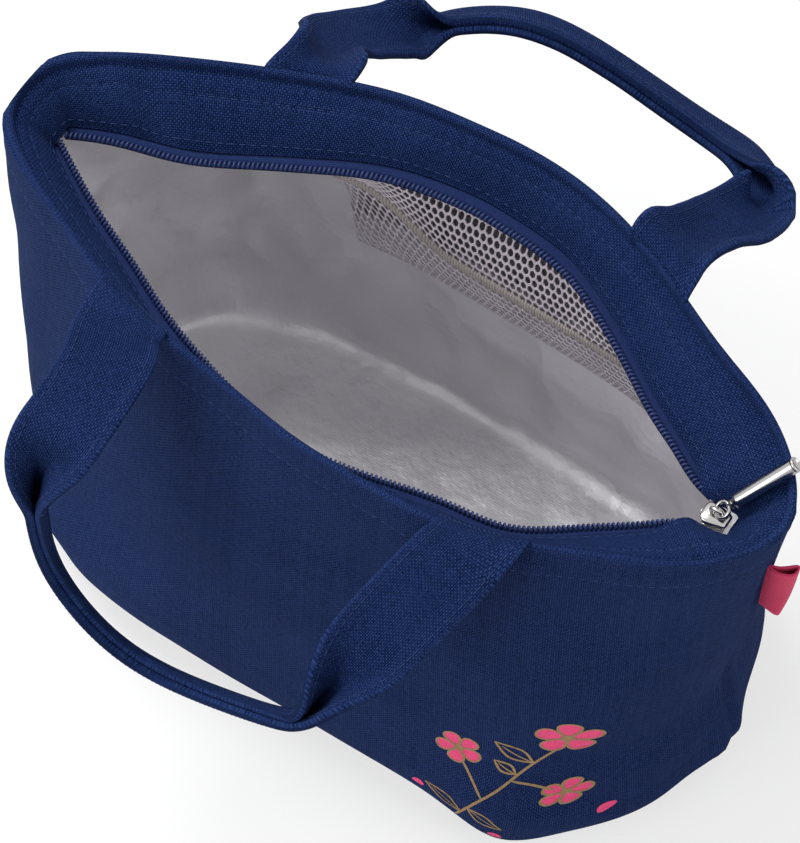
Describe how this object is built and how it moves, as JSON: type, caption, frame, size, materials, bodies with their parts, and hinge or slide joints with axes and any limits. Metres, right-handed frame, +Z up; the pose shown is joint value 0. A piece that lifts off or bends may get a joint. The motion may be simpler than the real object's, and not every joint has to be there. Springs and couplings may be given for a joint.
{
  "type": "insulated lunch bag",
  "caption": "Soft insulated lunch tote with a zipped mouth, strap handles, padded walls, satin lining and a net pocket inside.",
  "frame": {"origin": "on the ground under the middle of the rim", "axes": "+Z up, +X along the zip towards its closed end, -Y towards the front"},
  "size_m": [0.2993, 0.267, 0.1955],
  "materials": {
    "canvas": "matt woven cotton canvas",
    "strap": "matt woven cotton canvas, folded and stitched",
    "foam": "closed-cell foam sheet",
    "lining": "silver-grey coated satin",
    "zip_tape": "ribbed polyester tape",
    "zip_coil": "moulded coil",
    "zip_metal": "polished plating",
    "net": "soft knitted mesh",
    "binding": "ribbed binding tape",
    "tag": "woven ribbon"
  },
  "bodies": {
    "bag": {"outer_front_panel": "canvas", "outer_back_panel": "canvas", "insulation_front": "foam", "insulation_back": "foam", "lining_front": "lining", "lining_back": "lining", "facing_front": "canvas", "facing_back": "canvas", "zip_top_stop_front": "zip_metal", "zip_top_stop_back": "zip_metal", "zip_bottom_stop": "zip_metal", "pocket_upper_net": "net", "pocket_lower_net": "net", "pocket_binding": "binding"},
    "zip_slider": {"zip_slider_body": "zip_metal"},
    "pull_tab": {"zip_pull_link": "zip_metal", "zip_pull_bar": "zip_metal"},
    "front_mouth": {"zip_tape_front": "zip_tape", "zip_coil_front": "zip_coil"},
    "back_mouth": {"zip_tape_back": "zip_tape", "zip_coil_back": "zip_coil"},
    "front_handle": {"front_handle_left_leg": "strap", "front_handle_right_leg": "strap"},
    "front_grip": {"front_handle_grip": "strap"},
    "back_handle": {"back_handle_left_leg": "strap", "back_handle_right_leg": "strap"},
    "back_grip": {"back_handle_grip": "strap"},
    "side_tag": {"side_tag": "tag"}
  },
  "joints": [
    {"name": "zip_slide", "type": "slide", "parent": "bag", "child": "zip_slider", "axis": [-1, 0, 0], "range_m": [0, 0.244]},
    {"name": "pull_hinge", "type": "hinge", "parent": "zip_slider", "child": "pull_tab", "pos_m": [0.12083, 0, 0.16795], "axis": [0.7314, -0.682, 0], "range_deg": [0, 85]},
    {"name": "front_mouth_slide", "type": "slide", "parent": "bag", "child": "front_mouth", "axis": [0, 1, 0], "range_m": [0, 0.0495], "deforming": ["facing_front", "zip_tape_front", "zip_coil_front"]},
    {"name": "back_mouth_slide", "type": "slide", "parent": "bag", "child": "back_mouth", "axis": [0, -1, 0], "range_m": [0, 0.0495], "deforming": ["facing_back", "zip_tape_back", "zip_coil_back"]},
    {"name": "front_handle_hinge", "type": "hinge", "parent": "bag", "child": "front_handle", "pos_m": [0, -0.053, 0.1855], "axis": [-1, 0, 0], "range_deg": [0, 112]},
    {"name": "front_grip_hinge", "type": "hinge", "parent": "front_handle", "child": "front_grip", "pos_m": [-0.0665, -0.10845, 0.18086], "axis": [-0.9299, 0.0658, 0.362], "range_deg": [0, 78.5]},
    {"name": "back_handle_hinge", "type": "hinge", "parent": "bag", "child": "back_handle", "pos_m": [0, 0.053, 0.1855], "axis": [1, 0, 0], "range_deg": [0, 135]},
    {"name": "back_grip_hinge", "type": "hinge", "parent": "back_handle", "child": "back_grip", "pos_m": [-0.06, 0.1155, 0.1479], "axis": [0.9965, 0.0076, 0.0837], "range_deg": [0, 13.6]},
    {"name": "side_tag_hinge", "type": "hinge", "parent": "bag", "child": "side_tag", "pos_m": [0.14, 0.002, 0.118], "axis": [0.07, 0, 0.9975], "range_deg": [-40, 40]}
  ],
  "couplings": [
    {"joint": "front_mouth_slide", "follows": "zip_slide", "ratio": 0.20287},
    {"joint": "back_mouth_slide", "follows": "zip_slide", "ratio": 0.20287},
    {"joint": "front_grip_hinge", "follows": "front_handle_hinge", "ratio": 0.7},
    {"joint": "back_grip_hinge", "follows": "back_handle_hinge", "ratio": 0.1}
  ]
}
